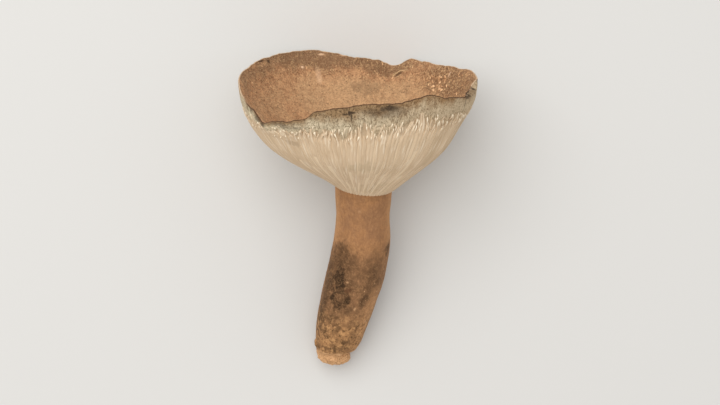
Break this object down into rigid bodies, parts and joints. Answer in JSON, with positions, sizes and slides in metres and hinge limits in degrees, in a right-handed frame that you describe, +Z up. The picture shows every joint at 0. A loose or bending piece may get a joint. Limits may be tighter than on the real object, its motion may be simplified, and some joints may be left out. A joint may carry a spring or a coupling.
{
  "type": "blackening russula mushroom",
  "caption": "Picked blackening russula lying on its side: a funnel-shaped cap with a netted margin, thick crowded gills, a bent stem and a torn base.",
  "frame": {"origin": "on the surface that the mushroom lies on, under the middle of its box", "axes": "+Z up from the surface, +Y from the torn end of the stem towards the cap, +X to the right as seen from above with the cap at the top"},
  "size_m": [0.0712, 0.101, 0.0669],
  "materials": {
    "cap_skin": "matte",
    "netted_margin": "matte",
    "gills": "matte",
    "stem_skin": "matte"
  },
  "bodies": {
    "root": {"blackening_russula": "cap_skin"}
  },
  "joints": []
}
